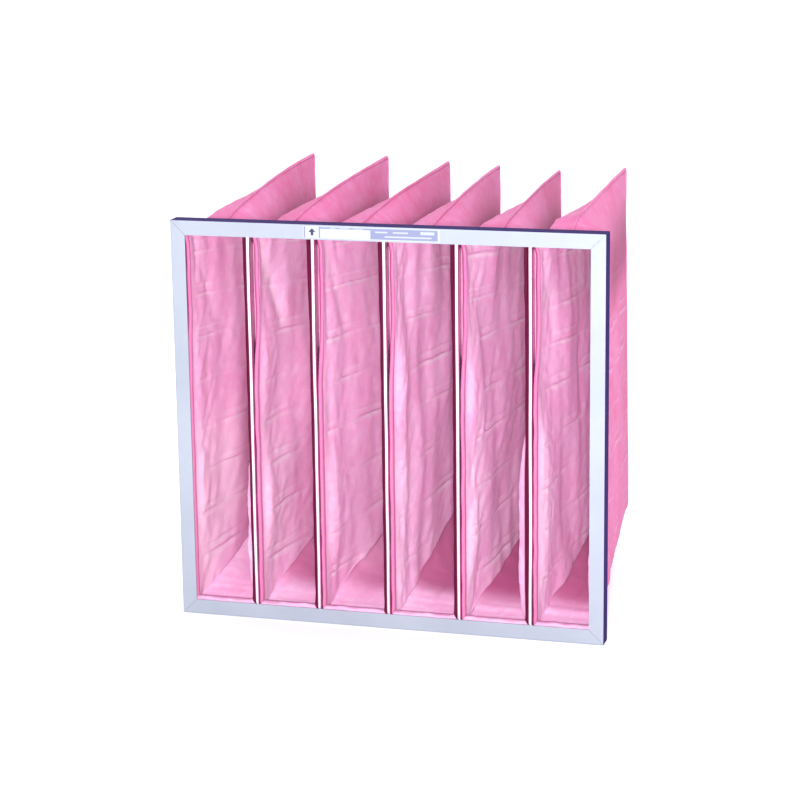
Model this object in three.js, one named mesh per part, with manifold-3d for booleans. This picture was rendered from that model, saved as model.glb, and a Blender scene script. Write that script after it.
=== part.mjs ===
// Bag air filter: six tapered fabric pockets, clipped side by side into a mitred header frame.
// Millimetres, +Z up, +Y the way the air goes. The origin is at the bottom centre of the whole filter.
import * as THREE from 'three';
import { mergeVertices } from 'three/addons/utils/BufferGeometryUtils.js';
import Module from 'manifold-3d';

const wasm = await Module();
wasm.setup();

// Header frame: four channel lengths, open towards the pockets
const headerWidth = 592;
const headerHeight = 550;
const headerDepth = 25;
const faceWidth = 20;
const rearLipWidth = 10;
const headerWall = 1.5;
const headerBevel = 0.5;
const mitreGap = 0.2;

// Corner keys, pressed into the channels at the mitres
const keyLeg = 60;
const keyThickness = 2;

// Clips: steel strip folded to a U that opens backwards and grips the pocket hems
const clipSheet = 0.6;
const clipDepth = 16;
const hemInset = 12.7;

// Pockets
const pocketCount = 6;
const dividerPitch = (headerWidth - 2 * headerWall) / pocketCount;
const firstDividerSlip = 8;
const mediaThickness = 1.5;
const filterDepth = 500;
const rearShrink = 15.6;
const rearSeam = 12;
const rearSlack = 8;
const sideSeam = 4;
const shoulder = 7;
const shoulderRun = 22;
const hemRoll = 5;
const tentHeight = 60;
const tentCurve = 1.8;
const fullness = 0.35;

// How far each pocket's rear edge leans sideways and stands over the header, from the left
const rearLean = [-17, 7, 9, -12, -18, -13];
const rearRise = [24, 23, 18, 16, 10, 10];

// Label on the header's top face
const labelWidth = 186;
const labelHeight = 16;
const labelThickness = 0.25;
const labelShift = -16;

// Clearance between pieces that touch
const fit = 0.3;

const frontY = -filterDepth / 2;
const clipFront = headerWall + fit;
const clipBack = clipFront + clipDepth;
const hemFront = clipFront + clipSheet + fit;
const singleClipHalf = mediaThickness / 2 + fit + clipSheet;
const doubleClipHalf = mediaThickness + 1.5 * fit + clipSheet;
const hemFromDivider = (mediaThickness + fit) / 2;
const rearHeight = headerHeight - 2 * hemInset - rearShrink;
const pocketDepths = [hemFront, clipBack + fit, headerDepth + 1, 40, 75, 150, 240, 330, 420];

const aluminium = { color: 0xd9e2f2, roughness: 0.42, metalness: 0.55 };
const zincSteel = { color: 0xe9e4ee, roughness: 0.3, metalness: 0.85 };
const pinkMedia = { color: 0xe08fb9, roughness: 0.6, metalness: 0 };
const whitePaper = { color: 0xdfe3f2, roughness: 0.7, metalness: 0 };

const filter = new THREE.Group();

function addPiece(name, geometry, finish) {
  const mesh = new THREE.Mesh(geometry, new THREE.MeshStandardMaterial(finish));
  mesh.name = name;
  filter.add(mesh);
  return mesh;
}

function toManifold(geometry) {
  const bare = geometry.clone();
  bare.deleteAttribute('normal');
  bare.deleteAttribute('uv');
  const merged = mergeVertices(bare, 1e-4);
  return new wasm.Manifold(new wasm.Mesh({
    numProp: 3,
    vertProperties: new Float32Array(merged.attributes.position.array),
    triVerts: new Uint32Array(merged.index.array),
  }));
}

function fromManifold(solid) {
  const mesh = solid.getMesh();
  return indexedGeometry(mesh.vertProperties, mesh.triVerts);
}

function indexedGeometry(positions, triangles) {
  const geometry = new THREE.BufferGeometry();
  geometry.setAttribute('position', new THREE.BufferAttribute(new Float32Array(positions), 3));
  geometry.setIndex(Array.from(triangles));
  geometry.computeVertexNormals();
  return geometry;
}

// A straight length along X whose section is given as [inwards from the outer edge, back from the front].
// Both ends are cut at 45 degrees, so that inwards is +Z and the outer edge is the longest.
function mitredLength(length, section) {
  const count = section.length;
  const positions = [];
  for (const side of [-1, 1]) {
    for (const [inwards, back] of section) {
      positions.push(side * (length / 2 - inwards - mitreGap), back, inwards);
    }
  }
  const triangles = [];
  for (let i = 0; i < count; i += 1) {
    const next = (i + 1) % count;
    triangles.push(i, count + i, count + next, i, count + next, next);
  }
  const outline = section.map(([inwards, back]) => new THREE.Vector2(inwards, back));
  for (const [a, b, c] of THREE.ShapeUtils.triangulateShape(outline, [])) {
    triangles.push(a, b, c, count + a, count + c, count + b);
  }
  return indexedGeometry(positions, triangles);
}

function headerSection() {
  const wall = headerWall;
  const bevel = headerBevel;
  return [
    [bevel, 0], [faceWidth, 0], [faceWidth, wall], [wall, wall],
    [wall, headerDepth - wall], [rearLipWidth, headerDepth - wall],
    [rearLipWidth, headerDepth], [bevel, headerDepth], [0, headerDepth - bevel], [0, bevel],
  ];
}

function addHeader() {
  const sides = [
    ['header_bottom', headerWidth, 0, [0, 0]],
    ['header_left', headerHeight, Math.PI / 2, [-headerWidth / 2, headerHeight / 2]],
    ['header_top', headerWidth, Math.PI, [0, headerHeight]],
    ['header_right', headerHeight, -Math.PI / 2, [headerWidth / 2, headerHeight / 2]],
  ];
  for (const [name, length, turn, [x, z]] of sides) {
    const piece = addPiece(name, mitredLength(length, headerSection()), aluminium);
    piece.position.set(x, frontY, z);
    piece.rotation.y = turn;
  }
}

// An angle that lies against the inside of two channels and fills them from flange to flange
function addCornerKeys() {
  const start = headerWall + fit;
  const inner = start + keyThickness;
  const end = start + keyLeg;
  const outline = new THREE.Shape([
    new THREE.Vector2(start, start), new THREE.Vector2(end, start), new THREE.Vector2(end, inner),
    new THREE.Vector2(inner, inner), new THREE.Vector2(inner, end), new THREE.Vector2(start, end),
  ]);
  const height = headerDepth - 2 * (headerWall + fit);
  const corners = [
    ['corner_key_bottom_left', -1, 0, 0],
    ['corner_key_bottom_right', 1, 0, -Math.PI / 2],
    ['corner_key_top_right', 1, 1, Math.PI],
    ['corner_key_top_left', -1, 1, Math.PI / 2],
  ];
  for (const [name, side, level, turn] of corners) {
    const geometry = new THREE.ExtrudeGeometry(outline, { depth: height, bevelEnabled: false });
    geometry.rotateX(Math.PI / 2);
    geometry.translate(0, headerDepth - headerWall - fit, 0);
    const piece = addPiece(name, geometry, zincSteel);
    piece.position.set(side * headerWidth / 2, frontY, level * headerHeight);
    piece.rotation.y = turn;
  }
}

// A U-shaped clip along Z, centred on X = 0, with its closed side at the front
function clipGeometry(halfWidth, length) {
  const inside = halfWidth - clipSheet;
  const round = clipSheet / 2;
  const outline = new THREE.Shape([
    new THREE.Vector2(-halfWidth + round, 0), new THREE.Vector2(halfWidth - round, 0),
    new THREE.Vector2(halfWidth, round), new THREE.Vector2(halfWidth, clipDepth),
    new THREE.Vector2(inside, clipDepth), new THREE.Vector2(inside, clipSheet),
    new THREE.Vector2(-inside, clipSheet), new THREE.Vector2(-inside, clipDepth),
    new THREE.Vector2(-halfWidth, clipDepth), new THREE.Vector2(-halfWidth, round),
  ]);
  const geometry = new THREE.ExtrudeGeometry(outline, { depth: length, bevelEnabled: false });
  geometry.translate(0, clipFront, -length / 2);
  return geometry;
}

function dividerPlace(index) {
  const even = (index - pocketCount / 2) * dividerPitch;
  return index === 1 ? even + firstDividerSlip : even;
}

// The legs stop at the pockets' hems, and the closed front runs on behind the header's face
function dividerGeometry() {
  const full = headerHeight - 2 * (headerWall + fit);
  const legs = headerHeight - 2 * (hemInset + mediaThickness / 2 + fit);
  let solid = toManifold(clipGeometry(doubleClipHalf, full));
  const notchLength = (full - legs) / 2;
  for (const end of [-1, 1]) {
    const notch = new THREE.BoxGeometry(4 * doubleClipHalf, 2 * clipDepth, 2 * notchLength);
    notch.translate(0, clipFront + clipSheet + clipDepth, end * (legs / 2 + notchLength));
    solid = solid.subtract(toManifold(notch));
  }
  return fromManifold(solid);
}

function addDividers() {
  for (let index = 1; index < pocketCount; index += 1) {
    const piece = addPiece(`divider_${index}`, dividerGeometry(), zincSteel);
    piece.position.set(dividerPlace(index), frontY, headerHeight / 2);
  }
}

// Left and right ends of a pocket's mouth, at the middle of the media
function mouthEnds(pocket) {
  const outer = headerWidth / 2 - hemInset;
  const left = pocket === 0 ? -outer : dividerPlace(pocket) + hemFromDivider;
  const right = pocket === pocketCount - 1 ? outer : dividerPlace(pocket + 1) - hemFromDivider;
  return [left, right];
}

// Clips that hold the hems inside the header: one above and one below each pocket, one at each side
function addHemClips() {
  const fromDivider = doubleClipHalf - hemFromDivider + fit;
  const fromSide = singleClipHalf + fit;
  for (let pocket = 0; pocket < pocketCount; pocket += 1) {
    const [left, right] = mouthEnds(pocket);
    const start = left + (pocket === 0 ? fromSide : fromDivider);
    const end = right - (pocket === pocketCount - 1 ? fromSide : fromDivider);
    for (const [name, level] of [['bottom', hemInset], ['top', headerHeight - hemInset]]) {
      const geometry = clipGeometry(singleClipHalf, end - start);
      const piece = addPiece(`hem_clip_${name}_${pocket + 1}`, geometry, zincSteel);
      piece.position.set((start + end) / 2, frontY, level);
      piece.rotation.y = Math.PI / 2;
    }
  }
  const sideLength = headerHeight - 2 * (hemInset + fromSide);
  for (const [name, side] of [['left', -1], ['right', 1]]) {
    const piece = addPiece(`side_clip_${name}`, clipGeometry(singleClipHalf, sideLength), zincSteel);
    piece.position.set(side * (headerWidth / 2 - hemInset), frontY, headerHeight / 2);
  }
}

// Smooth step from 0 to 1
function ease(value) {
  const x = Math.min(1, Math.max(0, value));
  return x * x * (3 - 2 * x);
}

// Shape of one pocket at a depth behind the header's front: the middle surface of the media
function pocketStation(pocket, depth) {
  const [left, right] = mouthEnds(pocket);
  const mouthHalf = (right - left) / 2;
  const along = Math.max(0, depth - clipBack) / (filterDepth - clipBack);
  const toSeam = Math.min(1, Math.max(0, depth - clipBack) / (filterDepth - rearSeam - clipBack));
  const rolled = ease((depth - clipBack) / shoulderRun);
  const shouldered = mouthHalf - shoulder * rolled;
  const flat = mediaThickness / 2;
  const halfWidth = flat + (shouldered - flat) * (1 - toSeam) * (1 + fullness * toSeam);
  const rearTop = headerHeight + rearRise[pocket];
  const rearBottom = rearTop - rearHeight;
  const roll = hemRoll * rolled * (1 - along);
  return {
    centre: (left + right) / 2 + rearLean[pocket] * ease(along),
    halfWidth,
    low: hemInset + roll + (rearBottom - hemInset) * along,
    high: headerHeight - hemInset - roll + (rearTop - headerHeight + hemInset) * along,
    tent: tentHeight * along ** 1.6,
    seam: sideSeam * ease(along * 6),
  };
}

// One side of a pocket's section from its bottom seam to its top seam, as [half width, height].
// outwards is half the media's thickness for the outer face and minus that for the inner one.
function sectionSide(station, outwards) {
  const gussetShares = [0.35, 0.7, 1];
  const wallShares = [0.2, 0.4, 0.6, 0.8];
  const outer = outwards > 0;
  const width = station.halfWidth + outwards;
  const foot = Math.min(outer ? mediaThickness : mediaThickness / 2, width / 2);
  const seam = outer ? station.seam : 0;
  const low = station.low - outwards + (outer ? 0 : station.seam);
  const high = station.high + outwards - (outer ? 0 : station.seam);
  const neck = foot + Math.min(1.5, (width - foot) * 0.2);
  const lower = [[foot, low], [neck, low + seam]];
  const upper = [[foot, high], [neck, high - seam]];
  for (const share of gussetShares) {
    const x = neck + (width - neck) * share;
    const drop = seam + station.tent * (1 - (1 - share) ** (1 / tentCurve));
    lower.push([x, low + drop]);
    upper.push([x, high - drop]);
  }
  const wallLow = low + seam + station.tent;
  const wallHigh = high - seam - station.tent;
  const wall = wallShares.map((share) => [width, wallLow + (wallHigh - wallLow) * share]);
  return [...lower, ...wall, ...upper.reverse()];
}

// A closed bag of media, open at the front: outer skin, inner skin, the rim that joins them and two end caps
function pocketGeometry(pocket) {
  const outerDepths = [...pocketDepths, filterDepth - rearSeam, filterDepth];
  const innerDepths = [...pocketDepths, filterDepth - rearSeam - rearSlack];
  const positions = [];
  const triangles = [];
  const sideCount = sectionSide(pocketStation(pocket, hemFront), mediaThickness / 2).length;
  const ring = 2 * sideCount;

  function addRings(depths, outwards) {
    const first = positions.length / 3;
    for (const depth of depths) {
      const station = pocketStation(pocket, depth);
      const side = sectionSide(station, outwards);
      for (const [x, z] of side) positions.push(station.centre + x, depth, z);
      for (const [x, z] of side.slice().reverse()) positions.push(station.centre - x, depth, z);
    }
    return first;
  }

  function addQuad(a, b, c, d) {
    triangles.push(a, b, c, a, c, d);
  }

  function addSkin(first, count, outside) {
    for (let row = 0; row + 1 < count; row += 1) {
      for (let i = 0; i < ring; i += 1) {
        const here = first + row * ring;
        const next = (i + 1) % ring;
        const corners = [here + i, here + next, here + ring + next, here + ring + i];
        addQuad(...(outside ? corners.reverse() : corners));
      }
    }
  }

  function addCap(start, outside) {
    for (let i = 0; i + 1 < sideCount; i += 1) {
      const corners = [start + i, start + i + 1, start + ring - 2 - i, start + ring - 1 - i];
      addQuad(...(outside ? corners.reverse() : corners));
    }
  }

  const outer = addRings(outerDepths, mediaThickness / 2);
  const inner = addRings(innerDepths, -mediaThickness / 2);
  addSkin(outer, outerDepths.length, true);
  addSkin(inner, innerDepths.length, false);
  for (let i = 0; i < ring; i += 1) {
    const next = (i + 1) % ring;
    addQuad(outer + i, outer + next, inner + next, inner + i);
  }
  addCap(outer + (outerDepths.length - 1) * ring, true);
  addCap(inner + (innerDepths.length - 1) * ring, false);
  return indexedGeometry(positions, triangles);
}

function addPockets() {
  for (let pocket = 0; pocket < pocketCount; pocket += 1) {
    const piece = addPiece(`pocket_${pocket + 1}`, pocketGeometry(pocket), pinkMedia);
    piece.position.set(0, frontY, 0);
  }
}

function addLabel() {
  const geometry = new THREE.BoxGeometry(labelWidth, labelThickness, labelHeight);
  const piece = addPiece('label', geometry, whitePaper);
  piece.position.set(labelShift, frontY - labelThickness / 2, headerHeight - faceWidth / 2);
}

addHeader();
addCornerKeys();
addDividers();
addHemClips();
addPockets();
addLabel();

export default filter;
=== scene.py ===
import math

import bpy
import numpy as np
from mathutils import Matrix, Vector


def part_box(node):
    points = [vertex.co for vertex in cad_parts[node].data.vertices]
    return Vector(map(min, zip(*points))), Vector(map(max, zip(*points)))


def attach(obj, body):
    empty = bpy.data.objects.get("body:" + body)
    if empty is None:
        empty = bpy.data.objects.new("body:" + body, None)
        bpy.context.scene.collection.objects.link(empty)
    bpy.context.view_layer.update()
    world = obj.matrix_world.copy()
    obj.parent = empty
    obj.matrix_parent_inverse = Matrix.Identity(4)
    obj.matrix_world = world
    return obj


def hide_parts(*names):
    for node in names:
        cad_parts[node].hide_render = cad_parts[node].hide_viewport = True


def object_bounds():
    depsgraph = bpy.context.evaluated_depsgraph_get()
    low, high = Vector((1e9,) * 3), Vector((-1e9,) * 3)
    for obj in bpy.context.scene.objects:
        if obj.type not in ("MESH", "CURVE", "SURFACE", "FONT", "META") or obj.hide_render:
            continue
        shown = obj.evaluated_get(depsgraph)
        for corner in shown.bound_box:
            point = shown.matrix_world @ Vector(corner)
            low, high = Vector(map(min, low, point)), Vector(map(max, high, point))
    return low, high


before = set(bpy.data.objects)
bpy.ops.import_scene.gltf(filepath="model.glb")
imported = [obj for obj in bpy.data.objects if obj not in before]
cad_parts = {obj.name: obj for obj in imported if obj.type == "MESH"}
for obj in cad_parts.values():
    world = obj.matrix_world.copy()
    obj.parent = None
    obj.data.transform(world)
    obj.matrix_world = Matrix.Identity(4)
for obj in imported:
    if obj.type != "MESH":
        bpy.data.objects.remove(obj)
cadLow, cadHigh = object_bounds()

# Places read from the frame, in metres
mm = 0.001
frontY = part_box("header_top")[0][1]
rearY = cadHigh[1]
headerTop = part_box("header_top")[1][2]
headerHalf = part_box("header_right")[1][0]
dividerX = [(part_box(f"divider_{i}")[0][0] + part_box(f"divider_{i}")[1][0]) / 2 for i in range(1, 6)]
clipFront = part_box("divider_1")[0][1] - frontY
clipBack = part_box("divider_1")[1][1] - frontY
clipHalf = (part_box("divider_1")[1][0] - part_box("divider_1")[0][0]) / 2


# A smooth step from 0 at low to 1 at high
def ease(value, low=0.0, high=1.0):
    x = np.clip((value - low) / (high - low), 0, 1)
    return x * x * (3 - 2 * x)


# Smooth noise from a seeded sum of waves: each wave has a random direction, a length between the two
# given ones and a random phase. Stretch makes it longer along one direction. The sum stays near -1 to
# 1.
def waves(seed, p, q, shortest, longest, count=24, stretch=1.0, along=0.0):
    rng = np.random.default_rng(seed)
    turn = rng.uniform(0, 2 * math.pi, count)
    length = rng.uniform(shortest, longest, count)
    phase = rng.uniform(0, 2 * math.pi, count)
    a = (p * math.cos(along) + q * math.sin(along)) / stretch
    b = -p * math.sin(along) + q * math.cos(along)
    total = np.zeros(np.broadcast(p, q).shape)
    for t, w, f in zip(turn, length, phase):
        total = total + np.sin(2 * math.pi * (a * math.cos(t) + b * math.sin(t)) / w + f)
    return total * math.sqrt(2 / count) / 1.6


def meshPiece(name, points, faces, values=None):
    mesh = bpy.data.meshes.new(name)
    mesh.from_pydata(points.tolist(), [], faces.tolist() if hasattr(faces, "tolist") else faces)
    mesh.update()
    mesh.shade_smooth()
    for key, column in (values or {}).items():
        layer = mesh.attributes.new(key, "FLOAT", "POINT")
        layer.data.foreach_set("value", np.ascontiguousarray(column, dtype=np.float32).ravel())
    piece = bpy.data.objects.new(name, mesh)
    bpy.context.scene.collection.objects.link(piece)
    return piece


# Shader maths: a socket that takes part in Python expressions
class Wire:
    def __init__(self, tree, socket):
        self.tree, self.socket = tree, socket

    def node(self, kind, settings=None, inputs=None, out=0):
        made = self.tree.nodes.new(kind)
        for key, value in (settings or {}).items():
            if key == "stops":
                ramp = made.color_ramp.elements
                while len(ramp) < len(value):
                    ramp.new(0.5)
                for stop, (place, colour) in zip(ramp, value):
                    stop.position, stop.color = place, (*colour, 1)
            else:
                setattr(made, key, value)
        for key, value in (inputs or {}).items():
            if isinstance(value, Wire):
                self.tree.links.new(value.socket, made.inputs[key])
            else:
                made.inputs[key].default_value = value
        return Wire(self.tree, made.outputs[out])

    def maths(self, operation, *values):
        return self.node("ShaderNodeMath", {"operation": operation}, dict(enumerate(values)))

    def __add__(self, other):
        return self.maths("ADD", self, other)

    def __radd__(self, other):
        return self.maths("ADD", other, self)

    def __sub__(self, other):
        return self.maths("SUBTRACT", self, other)

    def __rsub__(self, other):
        return self.maths("SUBTRACT", other, self)

    def __mul__(self, other):
        return self.maths("MULTIPLY", self, other)

    def __rmul__(self, other):
        return self.maths("MULTIPLY", other, self)

    def noise(self, scale, detail=3.0, rough=0.55):
        return self.node("ShaderNodeTexNoise", None, {"Vector": self, "Scale": scale, "Detail": detail,
                                                      "Roughness": rough}, "Fac")

    def attribute(self, name):
        return self.node("ShaderNodeAttribute", {"attribute_name": name}, None, "Fac")

    def axis(self, name):
        return self.node("ShaderNodeSeparateXYZ", None, {"Vector": self}, name)

    def between(self, low, high):  # 0 at low, 1 at high, and no more beyond them
        return self.node("ShaderNodeMapRange", None, {"Value": self, "From Min": low, "From Max": high})

    def mix(self, first, second):  # first where this is 0, second where it is 1
        made = self.tree.nodes.new("ShaderNodeMix")
        made.data_type = "RGBA"
        self.tree.links.new(self.socket, made.inputs["Factor"])
        for key, value in (("A", first), ("B", second)):
            socket = [s for s in made.inputs if s.name == key and s.type == "RGBA"][0]
            if isinstance(value, Wire):
                self.tree.links.new(value.socket, socket)
            else:
                socket.default_value = (*value, 1)
        return Wire(self.tree, [s for s in made.outputs if s.type == "RGBA"][0])

    def stretched(self, x, y, z):
        return self.node("ShaderNodeMapping", None, {"Vector": self, "Scale": (x, y, z)})

    def bump(self, strength, distance, under=None):
        inputs = {"Height": self, "Strength": strength, "Distance": distance}
        if under is not None:
            inputs["Normal"] = under
        return self.node("ShaderNodeBump", None, inputs)


# A new material: its Principled shader, and its Object coordinates to start from
def newMaterial(name, **fixed):
    material = bpy.data.materials.new(name)
    material.use_nodes = True
    tree = material.node_tree
    shader = tree.nodes["Principled BSDF"]
    for key, value in fixed.items():
        shader.inputs[key.replace("_", " ")].default_value = value
    start = Wire(tree, tree.nodes.new("ShaderNodeTexCoord").outputs["Object"])
    return material, shader, start


def feed(shader, key, wire):
    wire.tree.links.new(wire.socket, shader.inputs[key])


# The material shows its first shader where share is 0 and the second one where it is 1
def mixShaders(material, share, shader, second):
    tree = material.node_tree
    first = Wire(tree, shader.outputs[0])
    both = first.node("ShaderNodeMixShader", None, {0: share, 1: first, 2: second})
    tree.links.new(both.socket, tree.nodes["Material Output"].inputs["Surface"])


felt = {
    "outside": {"mid": (0.79, 0.29, 0.53), "deep": (0.75, 0.17, 0.38), "pale": (0.83, 0.52, 0.71),
                "through": 0.45, "soft": 0.0},
    # The inner side's tones are paler than the outer's: painted light that brightens the pockets' insides
    "inside": {"mid": (0.87, 0.56, 0.775), "deep": (0.86, 0.41, 0.66), "pale": (0.88, 0.72, 0.82),
               "through": 0.1, "soft": 1.0},
    # Painted shade: its deep and dark colours, and how deep the crease grooves are painted
    "dense": (0.42, 0.07, 0.20), "dark": (0.075, 0.0, 0.02), "groove": 0.5, "grooveShare": 0.8,
    "roughness": 0.58, "roughSpread": 0.25, "specular": 0.1,
    "sheen": 0.04, "sheenRoughness": 0.4, "sheenTint": (1.0, 0.86, 0.93),
    "cloudScale": 16.0, "mottleScale": 85.0, "fibreScale": 1400.0, "fibreStretch": 0.35,
    "mottlePale": 0.35, "creasePale": 0.85, "crumple": (0.35, 0.0012), "fibres": (0.3, 0.0003),
}


# Pink non-woven felt: clouds and mottle in the colour, short fibres and a soft crumple in the bump.
# Light comes through it. Creases get a painted highlight on the ridge and painted shade in the groove.
# A painted shade attribute deepens the colour from 0 to 1 and darkens it from 1 to 2. Only the inner
# side shows the pale attribute: a painted highlight above 0, and painted shade, deep then dark, below.
def feltMaterial(name, tones):
    material, shader, place = newMaterial(name, Sheen_Weight=felt["sheen"],
                                          Sheen_Roughness=felt["sheenRoughness"],
                                          Specular_IOR_Level=felt["specular"])
    shader.inputs["Sheen Tint"].default_value = (*felt["sheenTint"], 1)
    clouds = place.noise(felt["cloudScale"], 4.0)
    mottle = place.noise(felt["mottleScale"], 5.0, 0.65)
    fibres = place.stretched(1.0, 1.0, felt["fibreStretch"]).noise(felt["fibreScale"], 2.0, 0.7)
    crease = place.attribute("crease")
    soft = place.attribute("pale") * tones["soft"]
    dense = place.attribute("dense")
    base = (clouds * 0.6 + mottle * 0.4).between(0.35, 0.65).mix(tones["deep"], tones["mid"])
    paleShare = mottle.between(0.5, 0.75) * felt["mottlePale"]
    # Painted highlight on crease ridges and where the pale attribute is above 0
    paleShare = paleShare + (crease + soft).between(0.05, 1.0) * felt["creasePale"]
    base = paleShare.between(0.0, 1.0).mix(base, tones["pale"])
    # Painted shade, deep then dark, from the shade attribute and from the pale attribute below 0
    for share, step in ((dense, 1.0), (soft, -1.0)):
        base = share.between(0.0, step).mix(base, felt["dense"])
        base = share.between(step, 2 * step).mix(base, felt["dark"])
    # Painted shade in the creases' grooves
    grooveColour = tuple(v * felt["groove"] for v in tones["deep"])
    base = (crease.between(-0.1, -1.0) * felt["grooveShare"]).mix(base, grooveColour)
    feed(shader, "Base Color", base)
    feed(shader, "Roughness", felt["roughness"] + (mottle - 0.5) * felt["roughSpread"])
    feed(shader, "Normal", fibres.bump(*felt["fibres"], mottle.bump(*felt["crumple"])))
    glow = dense.between(0.0, 1.0).mix((mottle * 0.2 + 0.6).mix(base, tones["pale"]), base)
    through = base.node("ShaderNodeBsdfTranslucent", None, {"Color": glow})
    mixShaders(material, tones["through"], shader, through)
    return material


# All lengths of the pockets, seams and dividers are in millimetres, and depths count from the
# header's front. A list of six has one value for each pocket, from left to right.
bag = {
    "shellThickness": 1.4, "hemInset": 12.7, "hemFromDivider": 0.9, "foldInwards": 6.7,
    "shoulder": 7.0, "hemRise": 5.0, "lipRise": 9.7, "settleFrom": 10, "sideSettled": 34, "riseSettled": 24,
    "fullness": 0.35, "arch": 0.75, "rearFold": 6.0, "seamLip": 4.0, "lipEase": 6, "rearShrink": 15.6,
    "tentHeight": 110.0, "tentLeft": (9, 0.15, 3.2), "tentRight": (12, 0.05),  # early height, reach, power
    "tentCurve": [2.0, 1.7], "curveTurns": (0.1, 0.6),
    "footTent": [90, 125, 105, 115, 35, 60], "footTentRight": 8.0, "footTentPower": 1.3,
    "topPuff": [(8, 3), (5, 3), (4, 2), (6, 0), (14, 1), (22, 7)], "puffFrom": (26, 110),
    "topLean": [-17, 7, 9, -12, -18, -13],
    "footLean": [-12, 4, 12, -9, -12, -4],
    "rowRuns": [(12, 40, 2), (40, 80, 4), (80, 470, 9)], "lastRows": [472, 480, 487, 492],
    "wallSteps": 216, "gussetSteps": 24,
}

# The mouth's fold as [inwards from the hem, behind the front]: out of the clip, forward along its leg,
# over a roll at the front, and back into the pocket
mouthFold = [(0, 2.8), (0, 8), (0, 13), (0, 17.2), (0.4, 19.0), (1.35, 19.9), (2.3, 19.0), (2.7, 17.2),
             (2.7, 13), (2.7, 9), (2.7, 6.4), (3.0, 5.3), (3.7, 4.5), (4.7, 4.2), (5.7, 4.5), (6.4, 5.3),
             (6.7, 6.4), (6.8, 8), (6.7, 10)]
foldTurn = 7  # rows before this one lie in the clip
legRows = 9  # rows up to this one are the hem's leg beside the clip
valleyRow = 10.5  # the bottom of the roll's own fold

# Flaps as [how far inwards, middle height, half height], the heights as shares of the header's
leftFlap = [[(2, 0.75, 0.3), (2, 0.25, 0.3)], [(2, 0.9, 0.1), (3, 0.36, 0.3)], [(5, 0.4, 0.33)],
            [(5, 0.42, 0.36)], [(5, 0.35, 0.34)], [(2, 0.85, 0.2), (5, 0.32, 0.3)]]
rightFlap = [[(11, 0.26, 0.24)], [(2, 0.4, 0.3)], [(1, 0.4, 0.3)], [(5, 0.08, 0.08)], [(13, 0.27, 0.25)],
             [(4, 0.16, 0.14)]]


def pocketEnds(pocket):
    outer = headerHalf / mm - bag["hemInset"]
    left = -outer if pocket == 0 else dividerX[pocket - 1] / mm + bag["hemFromDivider"]
    right = outer if pocket == 5 else dividerX[pocket] / mm - bag["hemFromDivider"]
    return left, right


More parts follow.
